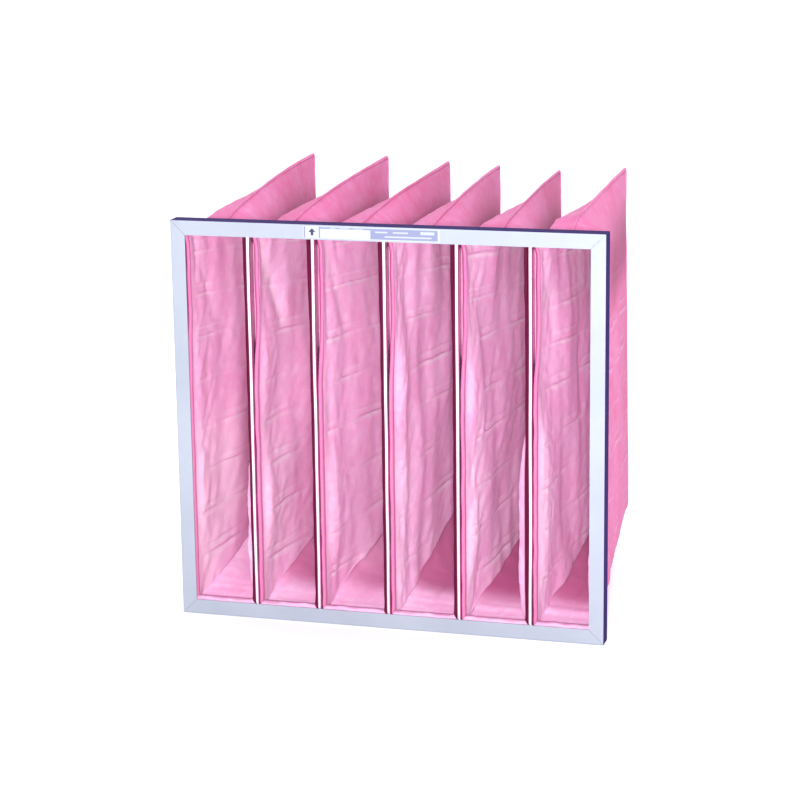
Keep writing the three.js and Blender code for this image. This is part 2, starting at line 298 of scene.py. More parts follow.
# One pocket's surface. Rows run from the hem to the rear fold and columns go round: up the right
# wall, over the top gusset, down the left wall and back along the bottom gusset. A wall stands at the
# centre line plus or minus the half width, which tapers as (1 - t)(1 + fullness t). A gusset drops
# from its ridge to the wall by the tent times 1 - (1 - share)^(1 / curve), where share goes from 0 at
# the ridge to 1 at the wall. The top line rises as 3/4 (1 - (1 - t)^3) + t/4. The top's tents grow as
# early (1 - exp(-t / reach)) + rest t^power, and the foot's as t^power.
def pocketGrid(pocket):
    left, right = pocketEnds(pocket)
    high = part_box(f"pocket_{pocket + 1}")[1][2] / mm
    full = (rearY - frontY) / mm
    clip = clipBack / mm
    top = headerTop / mm
    rearTop = high - bag["shellThickness"] / 2
    rearFoot = rearTop - (top - 2 * bag["hemInset"] - bag["rearShrink"])
    fold = np.array(mouthFold, float)
    runs = [np.arange(*run) for run in bag["rowRuns"]]
    behind = np.concatenate([*runs, bag["lastRows"], [full - bag["rearFold"]]])
    depth = np.concatenate([fold[:, 1], behind])[:, None]
    inward = np.concatenate([fold[:, 0], np.zeros(len(behind))])[:, None]
    isFold = np.arange(len(depth))[:, None] < len(fold)
    along = np.clip(depth - clip, 0, None) / (full - clip)
    along = np.where(isFold, 0, along)
    seamed = np.clip((depth - clip) / (full - bag["rearFold"] - clip), 0, 1)

    def settle(start, end, last):  # from the fold's last place to the gusset's or wall's own
        settled = start + (end - start) * ease(depth, bag["settleFrom"], last)
        return np.where(isFold, inward * start / bag["foldInwards"], settled)

    side = settle(bag["foldInwards"], bag["shoulder"], bag["sideSettled"])
    rise = settle(bag["foldInwards"], bag["hemRise"], bag["riseSettled"]) * (1 - along)
    lipRise = settle(bag["lipRise"], bag["hemRise"], bag["riseSettled"]) * (1 - along)
    taper = np.where(isFold, 1, (1 - seamed) * (1 + bag["fullness"] * seamed))
    half = ((right - left) / 2 - side) * taper
    lip = bag["seamLip"] * ease(along * bag["lipEase"])
    foot = bag["hemInset"] + lipRise + (rearFoot - bag["hemInset"]) * along + lip
    arch = bag["arch"] * (1 - (1 - along) ** 3) + (1 - bag["arch"]) * along
    puffFront, puffRear = bag["topPuff"][pocket]
    puff = (puffFront * (1 - along) ** 2 + puffRear * along) * ease(depth, *bag["puffFrom"])
    head = top - bag["hemInset"] - rise + (rearTop - top + bag["hemInset"]) * arch + puff - lip
    early, reach, power = bag["tentLeft"]
    tent = early * (1 - np.exp(-along / reach)) + (bag["tentHeight"] - early) * along ** power
    early, reach = bag["tentRight"]
    tentRight = early * (1 - np.exp(-along / reach)) + (bag["tentHeight"] - early) * along
    footTent = bag["footTent"][pocket] * along ** bag["footTentPower"]
    footTentRight = bag["footTentRight"] * along ** bag["footTentPower"]

    up = (np.arange(bag["wallSteps"]) + 0.5) / bag["wallSteps"]
    share = np.sin(np.linspace(0, math.pi / 2, bag["gussetSteps"] + 1))[1:]
    share = np.concatenate([-share[::-1], [0], share])
    leftZ = foot + footTent + (head - foot - tent - footTent) * up
    rightZ = foot + footTentRight + (head - foot - tentRight - footTentRight) * up
    curveFront, curveRear = bag["tentCurve"]
    curve = curveFront + (curveRear - curveFront) * ease(along, *bag["curveTurns"])
    drop = 1 - np.clip(1 - np.abs(share), 0, 1) ** (1 / curve)
    gussetX = half * share
    topZ = head - np.where(share < 0, tent, tentRight) * drop
    footZ = foot + np.where(share < 0, footTent, footTentRight) * drop
    x = np.concatenate([half + 0 * up, gussetX[:, ::-1], -half + 0 * up, gussetX], axis=1)
    z = np.concatenate([rightZ, topZ[:, ::-1], leftZ[:, ::-1], footZ], axis=1)
    # 1 is the right wall, 2 the top gusset, -1 the left wall and -2 the bottom gusset
    which = np.repeat([1, 2, -1, -2], [len(up), len(share), len(up), len(share)])
    return dict(x=x, z=z, depth=depth + 0 * x, half=half, along=along, which=which[None, :] + 0 * x,
                left=left, right=right, foot=foot, head=head, isFold=isFold)


# How far the rear edge leans sideways, from its foot to its head
def leanAt(pocket, z, depthShare):
    level = np.clip(z / (headerTop / mm), 0, 1)
    lean = bag["footLean"][pocket] + (bag["topLean"][pocket] - bag["footLean"][pocket]) * level
    return lean * ease(depthShare)


pressed = {
    "first": 70.0, "firstSpread": 12, "highest": 560, "gap": 66.0, "gapSpread": (0.85, 1.12),
    "width": 2.6, "widthSpread": (0.8, 1.3), "height": 1.7, "strength": (0.6, 1.15),
    "fan": -0.0002, "fanLevel": 30.0, "sway": (1.6, 80), "ripple": (0.4, 19),
    "fade": (0.6, 0.4), "fadeLength": (24, 50), "secondAbove": (10, 16), "secondShare": 0.5,
}


# Pressed creases: one at every gap, where s is the height over the crease in widths. Each is a flat
# ridge, exp(-(s + 0.8)^2), with a sharp groove over it, exp(-((s - 0.7) / 0.42)^2). They are fanned by
# height and faded unevenly, and each has a weaker one above it. The function gives back their height,
# and a mark that is above 0 on the ridge and below 0 in the groove.
def creases(pocket, depth, z, side):
    rng = np.random.default_rng(40 + pocket * 2 + (side > 0))
    height = np.zeros(depth.shape)
    mark = np.zeros(depth.shape)
    level = pressed["first"] + rng.uniform(-pressed["firstSpread"], pressed["firstSpread"])
    while level < pressed["highest"]:
        slope = pressed["fan"] * (level - pressed["fanLevel"])
        (sway, swayLength), (ripple, rippleLength) = pressed["sway"], pressed["ripple"]
        centre = level + slope * depth + sway * np.sin(depth / swayLength + rng.uniform(0, 6))
        centre = centre + ripple * np.sin(depth / rippleLength + level)
        width = pressed["width"] * rng.uniform(*pressed["widthSpread"])
        mean, swing = pressed["fade"]
        fade = mean + swing * np.sin(depth / rng.uniform(*pressed["fadeLength"]) + rng.uniform(0, 6))
        strength = rng.uniform(*pressed["strength"]) * fade
        for shift, share in ((0, 1), (rng.uniform(*pressed["secondAbove"]), pressed["secondShare"])):
            s = (z - centre - shift) / width
            ridge, groove = np.exp(-(s + 0.8) ** 2), np.exp(-((s - 0.7) / 0.42) ** 2)
            height += share * strength * (ridge - 0.6 * groove)
            mark += share * strength * (ridge - groove)
        level += pressed["gap"] * rng.uniform(*pressed["gapSpread"])
    return height * pressed["height"], mark


roll = {
    "right": 0.55, "cornerFrom": (40, 14), "top": 0.38, "leftLess": 0.62, "leftFrom": (318, 430),
    "outerLeft": 0.7, "pull": 5.2, "pullTo": (12, 36), "to": (6, 16), "turnedTo": (10, 40),
    "wander": (0.35, 1.3, 0.5),  # sideways, up and forward
    "shiftRight": (0.5, 1.7), "shiftRightFrom": (380, 530), "shiftLeft": (0.3, 2.5),
    "footFrom": (22, 42), "headFrom": (532, 514),
}


# How far forward the roll at the mouth comes, as a share: all the way along the foot, a little under
# the top flange, about half way on the right walls, and on the left walls less in the upper part,
# where the divider's leg shows
def rollReach(g):
    z, which = g["z"], g["which"]
    leftWall = 1 - roll["leftLess"] * ease(z, *roll["leftFrom"])
    if g["left"] < dividerX[0] / mm:  # no divider stands beside the first pocket's left wall
        leftWall = roll["outerLeft"] + 0 * z
    rightWall = roll["right"] + (1 - roll["right"]) * ease(z, *roll["cornerFrom"])
    topGusset = roll["top"] + 0 * z
    return np.select([which == 1, which == 2, which == -1], [rightWall, topGusset, leftWall], 1.0)


# How far the whole fold stands inwards of its place. It grows upwards: on the right walls it leaves a
# gap beside each divider, which painted shade darkens, and on the left walls it shows the divider's leg.
def foldShift(g):
    z, which = g["z"], g["which"]
    foot, head = ease(z, *roll["footFrom"]), ease(z, *roll["headFrom"])
    leftWall = roll["shiftLeft"][0] + roll["shiftLeft"][1] * ease(z, *roll["leftFrom"])
    rightWall = roll["shiftRight"][0] + roll["shiftRight"][1] * ease(z, *roll["shiftRightFrom"])
    return np.select([which == 1, which == -1], [rightWall * foot, leftWall * foot * head], 0.0)


flap = {"from": 9, "out": 31, "outPower": 1.1, "quick": (40, 74), "quickShare": 0.6, "slow": (66, 190),
        "wavy": 0.06}


# A flap's outline from the front to the back: out to a sharp edge as (way there)^1.1, then back in
# two smooth steps, most of it quickly and the rest slowly
def flapShape(depth):
    out = np.clip((depth - flap["from"]) / flap["out"], 0, 1) ** flap["outPower"]
    quick = flap["quickShare"]
    back = quick * ease(depth, *flap["quick"]) + (1 - quick) * ease(depth, *flap["slow"])
    return np.where(depth < flap["from"] + flap["out"], out, 1 - back)


wrinkle = {
    "swell": [7, 7, 5, 2, 0, 1], "swellAt": 185, "swellWide": 75,
    "swellHigh": 0.35, "swellFrom": (250, 430), "swellStart": (20, 90),
    "broad": 2.8, "broadLength": (130, 260), "broadKept": 0.3, "broadFades": (120, 300),
    "upright": 1.2, "uprightLength": (40, 90), "uprightKept": 0.5, "uprightFades": (300, 470),
    "slanted": 0.75, "slantedLength": (22, 60), "slantedTurn": 52,
    "slantedRight": 1.0, "slantedLeft": 0.35, "slantedGusset": 0.1, "gussetShare": 0.25,
    "crumple": 0.45, "crumpleLength": (16, 42), "gussetCrumple": 0.1, "gussetSmooth": (220, 400),
    # cornerPale is the painted highlight on the corner fold
    "cornerFold": [0.5, 1, 0.5, 0.3, 0.2, 0.6], "cornerHeight": 3.5, "cornerWide": 17, "cornerPale": 0.6,
    "cornerStart": (28, 515), "cornerSlope": 0.6, "cornerFrom": (320, 430),  # start as depth and height
    "inwardsFrom": (12, 34), "inwardsTo": (478, 494), "most": 7,
}

# Tones of the felt, all painted shade and highlight: painted shade runs to 1 where deep and to 2 where
# dark, the painted highlight from 0 to 1
tint = {
    "rightRoll": 2.0, "leftRoll": 0.85, "leftLeg": 0.6, "footRoll": 0.35, "gapTo": (12, 20),
    "valleyFrom": (360, 460), "rear": 0.15, "rearFrom": (300, 490),
    "shaded": 0.75, "shadedFrom": (90, 300), "shadedBelow": (8, 95), "shadedAbove": (380, 450),
    "left": [0.22, 0.2, 0.16, 0.06, 0.0, 0.0], "leftFront": 0.16, "leftFrontTo": (30, 70),
    "low": [1.0, 0.9, 0.1, 0.0, 0.2, 0.0], "lowShare": 0.5, "lowFrom": (110, 230), "lowBelow": (430, 260),
    "floor": [0.1, 1, 0.8, 1.1, 1.2, 1.1], "floorShare": 0.75, "floorFrom": (45, 120),
    "lip": 1.7, "lipAt": 15, "lipWide": 4,
    "paleReach": [210, 150, 60, 100, 115, 90], "paleShare": [0.7, 0.35, 0.2, 0.3, 0.4, 0.35],
    "paleBelow": (330, 200), "paleFootLess": 0.45, "paleFoot": (140, 40),
}


# How far the walls' wrinkles stand up: broad waves, upright and slanted folds, a fine crumple, the
# pressed creases, and a fold that runs down from each left wall's upper front corner as
# exp(-(distance / width)^2)
def wrinkles(pocket, g, inside, creaseHeight):
    z, depth, which = g["z"], g["depth"], g["which"]
    wall = np.abs(which) == 1
    seed = 100 * pocket
    p, q = depth, z + np.sign(which) * 700
    broad = wrinkle["broad"] * waves(seed + 1, p, q, *wrinkle["broadLength"], 16)
    broad = broad * (1 - (1 - wrinkle["broadKept"]) * ease(depth, *wrinkle["broadFades"]))
    upright = wrinkle["upright"] * waves(seed + 2, p, q, *wrinkle["uprightLength"], 18, 5.0, math.pi / 2)
    upright = upright * (1 - (1 - wrinkle["uprightKept"]) * ease(depth, *wrinkle["uprightFades"]))
    turn = math.radians(wrinkle["slantedTurn"])
    slanted = 1 - 2 * np.abs(waves(seed + 3, p, q, *wrinkle["slantedLength"], 18, 6.0, turn))
    crumple = wrinkle["crumple"] * waves(seed + 4, p, q, *wrinkle["crumpleLength"], 26)
    smooth = (1 - wrinkle["gussetCrumple"]) * ease(depth, *wrinkle["gussetSmooth"])
    crumple = crumple * np.where(wall, 1, 1 - smooth)
    cornerDepth, cornerLevel = wrinkle["cornerStart"]
    distance = depth - cornerDepth - wrinkle["cornerSlope"] * (cornerLevel - z)
    cornerFold = wrinkle["cornerFold"][pocket] * np.exp(-(distance / wrinkle["cornerWide"]) ** 2)
    cornerFold = cornerFold * ease(z, *wrinkle["cornerFrom"]) * (which == -1)
    broad = broad + wrinkle["cornerHeight"] * cornerFold
    slantedShare = np.select([which == 1, which == -1], [wrinkle["slantedRight"], wrinkle["slantedLeft"]],
                             wrinkle["slantedGusset"])
    wallShare = np.where(wall, 1, wrinkle["gussetShare"])
    height = broad * wallShare + upright * wallShare
    height = height + wrinkle["slanted"] * slanted * slantedShare
    height = (height + crumple + creaseHeight * wall) * inside
    near = np.abs(g["x"])  # less where the two walls are close
    lowest, highest = -np.clip(0.45 * near - 0.8, 0, None), np.clip(0.6 * near, 0.3, wrinkle["most"])
    return np.clip(height, lowest, highest), cornerFold


# Painted shade on the felt: deeper at the rolls, near the rear seam, below the ridge on the right
# side, on the left walls and on the folded floor, with a dark line behind the lip, and dark in the
# gaps beside the clips. Painted highlight: paler low down on the left walls near the mouth and on
# the corner folds.
def feltTones(pocket, g, z, cornerFold):
    depth, which, isFold = g["depth"], g["which"], g["isFold"]
    row = np.arange(len(z))[:, None]
    right, left, floor = ((which == side) & ~isFold for side in (1, -1, -2))
    # Painted shade on the mouth's fold rows: dark beside the clips on the right walls and along the roll's
    # valley on the left walls
    valley = np.exp(-((row - valleyRow) / 1.2) ** 2) * ease(z, *tint["valleyFrom"])
    leftRoll = np.where(row > legRows, tint["leftRoll"], tint["leftLeg"]) + valley
    foldShade = np.select([which == 1, which == -1], [tint["rightRoll"] + 0 * z, leftRoll], tint["footRoll"])
    # Painted shade near the rear seam, and below the ridge on the right side
    dense = np.where(isFold, foldShade, tint["rear"] * ease(depth, *tint["rearFrom"]))
    onRight = (which == 1) | ((which == 2) & (g["x"] > 0))
    shaded = tint["shaded"] * ease(depth, *tint["shadedFrom"])
    shaded = shaded * ease(g["head"] - g["z"], *tint["shadedBelow"]) * ease(g["z"], *tint["shadedAbove"])
    dense = np.where(onRight & ~isFold, np.maximum(dense, shaded), dense)
    dense = np.where(right, np.maximum(dense, 2 - 2 * ease(depth, *tint["gapTo"])), dense)
    # Painted shade on the left walls, low down and near the front
    low = tint["lowShare"] * tint["low"][pocket] * ease(depth, *tint["lowFrom"])
    low = low * ease(z, *tint["lowBelow"])
    front = tint["leftFront"] * (1 - ease(depth, *tint["leftFrontTo"]))
    dense = np.where(left, np.maximum(dense, low) + tint["left"][pocket] + front, dense)
    dense = np.where(floor, 0, dense)
    # Painted highlight low on the left walls near the mouth, and on the corner folds
    paleReach = tint["paleReach"][pocket] * (1 - tint["paleFootLess"] * ease(z, *tint["paleFoot"]))
    pale = tint["paleShare"][pocket] * ease(z, *tint["paleBelow"])
    pale = pale * (1 - ease(depth, 0.5 * paleReach, paleReach))
    pale = pale * (which == -1) + wrinkle["cornerPale"] * cornerFold
    # Painted shade on the folded floor, with a dark line behind the lip
    lipShadow = tint["lip"] * np.exp(-((depth - tint["lipAt"]) / tint["lipWide"]) ** 2)
    floorShade = tint["floorShare"] * tint["floor"][pocket] * ease(depth, *tint["floorFrom"]) + lipShadow
    return dense, np.where(which == -2, -floorShade, pale) * ~isFold


# A whole pocket: its surface, moved sideways by flaps, slack, fold and lean, forward at the roll, and
# along its own normal by the wrinkles. The last row of the left wall is joined to the right wall's.
# The two lines of its ridges, for the seam, are given back with it.
def makePocket(pocket, cloth):
    g = pocketGrid(pocket)
    x, z, depth, which = g["x"], g["z"], g["depth"], g["which"]
    middle = (g["left"] + g["right"]) / 2
    row = np.arange(len(x))[:, None]
    wall = np.abs(which) == 1
    side = np.sign(which)
    top = headerTop / mm
    inside = ease(depth, *wrinkle["inwardsFrom"]) * (1 - ease(depth, *wrinkle["inwardsTo"]))
    inside = np.where(g["isFold"], 0, inside)

    # Flaps: near the mouth each side wall bows inwards by exp(-(distance in height / spread)^3)
    bow = np.where(g["isFold"], 0, flapShape(depth))
    for sign, flaps in ((-1, leftFlap[pocket]), (1, rightFlap[pocket])):
        wavy = 1 + flap["wavy"] * waves(70 + pocket + (sign > 0) * 9, z, 0 * z, 50, 150, 9)
        for amount, level, spread in flaps:
            shape = np.exp(-np.abs((z / top - level) / spread) ** 3)
            x = np.where(wall & (side == sign), x - sign * amount * shape * wavy * bow, x)

    # Slack: the left walls swell inwards further back, most in the lower half
    swell = wrinkle["swell"][pocket] * np.exp(-((depth - wrinkle["swellAt"]) / wrinkle["swellWide"]) ** 2)
    high = wrinkle["swellHigh"]
    swell = swell * (high + (1 - high) * (1 - ease(z, *wrinkle["swellFrom"])))
    x = np.where(wall & (side < 0) & ~g["isFold"], x + swell * ease(depth, *wrinkle["swellStart"]), x)

    # The roll at the front wanders a little, and comes forward by its reach
    outOfClip = row >= foldTurn
    rollBack = mouthFold[3][1]
    pulled = np.where(g["isFold"], rollBack - depth, roll["pull"] * (1 - ease(depth, *roll["pullTo"])))
    depthMoved = depth + np.where(outOfClip, (1 - rollReach(g)) * np.clip(pulled, 0, None), 0)
    onRoll = np.where(g["isFold"] & outOfClip, 1 - ease(depth, *roll["to"]), 0)
    wander = waves(15 + pocket, z, x * 2, 35, 120, 12)
    turned = np.where(row < foldTurn, ease(row, foldTurn / 2, foldTurn), 1 - ease(depth, *roll["turnedTo"]))
    turned = np.where(g["isFold"] & outOfClip, 1, turned)
    x = x - side * foldShift(g) * turned * wall
    sideways, upwards, forward = roll["wander"]
    x = x + np.where(wall, -side * wander * sideways * onRoll, 0)
    z = z + np.where(which == -2, wander * upwards * onRoll, 0)
    depthMoved = depthMoved + onRoll * waves(31 + pocket, z, x, 30, 110, 12) * forward

    x = x + middle + leanAt(pocket, z, g["along"])
    points = np.stack([x, depthMoved, z], axis=-1)
    across = np.roll(points, -1, axis=1) - np.roll(points, 1, axis=1)
    inwards = np.gradient(points, axis=0)
    normal = np.cross(inwards, across)
    normal /= np.maximum(np.linalg.norm(normal, axis=-1, keepdims=True), 1e-9)
    creaseHeight, mark = np.zeros(x.shape), np.zeros(x.shape)
    for sign in (-1, 1):
        height, line = creases(pocket, depth, z, sign)
        creaseHeight += np.where(wall & (side == sign), height, 0)
        mark += np.where(wall & (side == sign), line, 0)
    height, cornerFold = wrinkles(pocket, dict(g, z=z), inside, creaseHeight)
    points = points + normal * height[..., None]
    dense, pale = feltTones(pocket, g, z, cornerFold)

    points[..., 1] += frontY / mm
    rows, ring = x.shape
    index = np.arange(rows * ring).reshape(rows, ring)
    mirror = mirrorColumns(ring)
    index[-1] = np.where(np.arange(ring) > mirror, index[-1][mirror], index[-1])
    points[-1] = (points[-1] + points[-1][mirror]) / 2
    after = np.roll(index, -1, axis=1)
    quads = np.stack([index[:-1], index[1:], after[1:], after[:-1]], axis=-1).reshape(-1, 4)
    used, compact = np.unique(quads, return_inverse=True)
    flat = points.reshape(-1, 3)[used] * mm
    columns = {"crease": mark * inside, "pale": pale, "dense": dense}
    values = {key: column.ravel()[used] for key, column in columns.items()}
    piece = meshPiece(f"bag_{pocket + 1}", flat, compact.reshape(-1, 4), values)
    solid = piece.modifiers.new("cloth", "SOLIDIFY")
    solid.thickness = bag["shellThickness"] * mm
    solid.offset = 0
    solid.material_offset = 1
    for face in cloth:
        piece.data.materials.append(face)
    ridges = [points[:, bag["wallSteps"] + bag["gussetSteps"]], points[:, -bag["gussetSteps"] - 1]]
    return piece, middle, [line[len(mouthFold):] for line in ridges]


# The column on the left wall at the same height as each one on the right wall, and the other way round
def mirrorColumns(ring):
    walls, gusset = bag["wallSteps"], 2 * bag["gussetSteps"] + 1
    column = np.arange(ring)
    mirror = np.where(column < walls, 2 * walls + gusset - 1 - column, column)
    topShare = column - walls
    mirror = np.where((column >= walls) & (column < walls + gusset), walls + gusset - 1 - topShare, mirror)
    onLeft = (column >= walls + gusset) & (column < 2 * walls + gusset)
    mirror = np.where(onLeft, 2 * walls + gusset - 1 - column, mirror)
    footShare = column - 2 * walls - gusset
    return np.where(column >= 2 * walls + gusset, 2 * walls + 2 * gusset - 1 - footShare, mirror)


# A closed profile carried along a path of points: at each step the profile's two axes are the given
# sides
def sweep(name, path, first, second, profile):
    firstShare, secondShare = profile[None, :, :1], profile[None, :, 1:]
    points = path[:, None, :] + firstShare * first[:, None, :] + secondShare * second[:, None, :]
    rows, ring = points.shape[:2]
    index = np.arange(rows * ring).reshape(rows, ring)
    after = np.roll(index, -1, axis=1)
    quads = np.stack([index[:-1], after[:-1], after[1:], index[1:]], axis=-1).reshape(-1, 4).tolist()
    caps = [index[0][::-1].tolist(), index[-1].tolist()]
    return meshPiece(name, points.reshape(-1, 3), quads + caps)


seamStrip = {"height": 3.8, "half": 1.0, "start": 34.0, "corner": 5.0, "step": 4.0, "cornerSteps": 7,
             "behind": 0.3, "sunk": 0.3, "proud": 0.5, "tilt": 0.12, "tiltLength": (50, 160)}


# The raised seam of a pocket: a flat band with round edges along its top, rear and bottom, pinched
# half way up by its stitches. It follows the two given lines of the pocket's surface, and tilts a
# little from side to side.
def makeSeam(pocket, middle, ridges, cloth):
    rear = (rearY - frontY) / mm - bag["rearFold"] + seamStrip["behind"]
    run = np.arange(seamStrip["start"], rear - seamStrip["corner"], seamStrip["step"])
    tops, feet = [[np.interp(run, ridge[:, 1] - frontY / mm, ridge[:, axis]) for axis in (0, 2)]
                  for ridge in ridges]
    headZ, footZ = tops[1] + seamStrip["proud"], feet[1] - seamStrip["proud"]
    topZ, lowZ = headZ[-1], footZ[-1]
    turn = np.linspace(0, math.pi / 2, seamStrip["cornerSteps"])[1:-1]
    r = seamStrip["corner"]
    upper = np.stack([rear - r + r * np.sin(turn), topZ - r + r * np.cos(turn)], axis=1)
    lower = np.stack([rear - r + r * np.cos(turn), lowZ + r - r * np.sin(turn)], axis=1)
    upright = np.arange(topZ - r, lowZ + r, -seamStrip["step"])
    line = np.concatenate([np.stack([run, headZ], 1), upper, np.stack([rear + 0 * upright, upright], 1),
                           lower, np.stack([run, footZ], 1)[::-1]])
    tangent = np.gradient(line, axis=0)
    tangent /= np.linalg.norm(tangent, axis=1, keepdims=True)
    outward = np.stack([-tangent[:, 1], tangent[:, 0]], axis=1)
    walked = np.arange(len(line)) * seamStrip["step"]
    behind = leanAt(pocket, line[:, 1], 1.0) + middle
    x = np.concatenate([tops[0], behind[len(run):-len(run)], feet[0][::-1]])
    path = np.stack([x, line[:, 0] + frontY / mm, line[:, 1]], axis=1)
    tilt = seamStrip["tilt"] * waves(320 + pocket, walked, 0 * walked, *seamStrip["tiltLength"], 9)
    out = np.stack([tilt, outward[:, 0], outward[:, 1]], axis=1)
    across = np.stack([np.ones(len(line)), -tilt * outward[:, 0], -tilt * outward[:, 1]], axis=1)
    w, h, sunk = seamStrip["half"], seamStrip["height"], seamStrip["sunk"]
    profile = np.array([(-w, -sunk), (-w, h * 0.35), (-w * 0.8, h * 0.5), (-w, h * 0.65), (-w, h - 0.7),
                        (-w * 0.5, h), (w * 0.5, h), (w, h - 0.7), (w, h * 0.65), (w * 0.8, h * 0.5),
                        (w, h * 0.35), (w, -sunk)])
    piece = sweep(f"bag_seam_{pocket + 1}", path * mm, across, out, profile * mm)
    piece.data.materials.append(cloth)
    return piece


divider = {"roundDepth": 1.5, "sheet": 0.6, "legEnd": 17.8, "crownEnd": 3.7, "step": 4.0, "arcSteps": 17,
           "fromHem": 1.2, "jump": 0.1, "sway": 0.25, "swayLength": (90, 260),
           "rimFrom": (0.42, 0.7), "legFrom": (1.2, 1.9)}


# A divider: its front is half an ellipse, (w cos a, front + depth - depth sin a), and its two legs
# run back. Near its ends, behind the header's flanges, only the front goes on. The flank attribute is
# 1 on the rims beside the bright middle, which get painted shade and reflection, and 2 on the legs,
# which get a painted pink reflection.
def makeDivider(number, steel):
    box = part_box(f"divider_{number + 1}")
    low, high = box[0][2] / mm, box[1][2] / mm
    hem = bag["hemInset"]
    legLow, legHigh = hem + divider["fromHem"], headerTop / mm - hem - divider["fromHem"]
    ends = [high, legLow - divider["jump"], legLow, legHigh, legHigh + divider["jump"]]
    z = np.unique(np.concatenate([np.arange(low, high, divider["step"]), ends]))
    w, t, front, deep = clipHalf / mm, divider["sheet"], clipFront / mm, divider["roundDepth"]
    arc = np.linspace(math.pi, 0, divider["arcSteps"])
    outer = np.stack([w * np.cos(arc), front + deep - deep * np.sin(arc)], 1)
    inner = np.stack([(w - t) * np.cos(arc), front + deep + 0.1 - (deep - t) * np.sin(arc)], 1)[::-1]
    legEnd = np.where((z >= legLow) & (z <= legHigh), divider["legEnd"], divider["crownEnd"])
    ones = np.ones(len(z))
    columns = [(-w * ones, legEnd)]
    columns += [(px * ones, py * ones) for px, py in outer]
    columns += [(w * ones, legEnd), ((w - t) * ones, legEnd)]
    columns += [(px * ones, py * ones) for px, py in inner]
    columns += [((t - w) * ones, legEnd)]
    sway = divider["sway"] * waves(500 + number, z, 0 * z, *divider["swayLength"], 8)
    points = np.stack([np.stack([px + sway, py + frontY / mm, z], 1) for px, py in columns], axis=1)
    points[..., 0] += dividerX[number] / mm
    rows, ring = points.shape[:2]
    index = np.arange(rows * ring).reshape(rows, ring)
    after = np.roll(index, -1, axis=1)
    quads = np.stack([index[:-1], after[:-1], after[1:], index[1:]], axis=-1).reshape(-1, 4).tolist()
    caps = []
    for row, flip in ((0, True), (rows - 1, False)):
        for i in range(ring // 2 - 1):
            face = [index[row][i], index[row][i + 1], index[row][ring - 2 - i], index[row][ring - 1 - i]]
            caps.append([int(v) for v in (face[::-1] if flip else face)])
    across = np.abs(points[..., 0] - dividerX[number] / mm - sway[:, None]) / w
    legNear, legFar = divider["legFrom"]
    onLeg = ease(points[..., 1] - frontY / mm, front + legNear, front + legFar)
    flank = np.maximum(ease(across, *divider["rimFrom"]), 2 * onLeg)
    name = f"steel_divider_{number + 1}"
    piece = meshPiece(name, points.reshape(-1, 3) * mm, quads + caps, {"flank": flank})
    piece.data.materials.append(steel)
    return piece


header = {
    "face": [(0.264, 0.285, 0.347), (0.292, 0.313, 0.377)], "mark": (0.24, 0.255, 0.32), "markShare": 0.15,
    # The outer colours are painted shade on the header's outer sides
    "outer": [(0.016, 0.004, 0.075), (0.024, 0.007, 0.10)], "outerRoughness": 0.55, "outerSpecular": 0.02,
    "metallic": 0.3, "specular": 0.4, "roughness": 0.36, "edge": 0.0004,
    "cloudScale": 7.0, "grainScale": 30.0, "grainStretch": 60.0, "markScale": 220.0,
    "grainRough": 0.08, "markRough": 0.1, "grainBump": (0.08, 0.0002),
}


# Satin aluminium with a painted dark shade on its outer side: brushed along its length, a little
# cloudy, with faint handling marks. The outer side is what lies within edge of the header's own left,
# right, lower or upper limit.
def headerMaterial():
    material, shader, place = newMaterial("satin_aluminium", Metallic=header["metallic"],
                                          Specular_IOR_Level=header["specular"])
    x, z = place.axis("X"), place.axis("Z")
    sides = x.maths("GREATER_THAN", x.maths("ABSOLUTE", x), headerHalf - header["edge"])
    foot = z.maths("LESS_THAN", z, header["edge"])
    head = z.maths("GREATER_THAN", z, headerTop - header["edge"])
    outer = sides.maths("MAXIMUM", sides, foot.maths("MAXIMUM", foot, head))
    clouds = place.noise(header["cloudScale"], 3.0)
    grain = place.stretched(1.0, header["grainStretch"], header["grainStretch"])
    grain = grain.noise(header["grainScale"], 3.0, 0.6)
    marks = place.noise(header["markScale"], 4.0, 0.7).between(0.62, 0.8)
    face = clouds.between(0.35, 0.65).mix(*header["face"])
    feed(shader, "Base Color", (marks * header["markShare"]).mix(face, header["mark"]))
    worn = grain * header["grainRough"]
    feed(shader, "Roughness", header["roughness"] + worn + marks * header["markRough"])
    feed(shader, "Normal", grain.bump(*header["grainBump"]))
    # The outer sides' painted shade: a dark, dull shader
    dark = place.tree.nodes.new("ShaderNodeBsdfPrincipled")
    dark.inputs["Specular IOR Level"].default_value = header["outerSpecular"]
    feed(dark, "Base Color", clouds.mix(*header["outer"]))
    feed(dark, "Roughness", header["outerRoughness"] + grain * 0.1)
    mixShaders(material, outer, shader, Wire(place.tree, dark.outputs[0]))
    return material


# rim is painted shade and reflection on the rims, leg a painted pink reflection of the felt
steel = {"rim": (0.32, 0.06, 0.19), "leg": (0.96, 0.56, 0.80), "flankPaintShare": 0.75, "cloudShade": 0.86,
         "spangleScale": 260.0, "cloudScale": 40.0, "spangleRough": 0.12, "cloudRough": 0.08,
         "cloudBump": (0.06, 0.0003)}


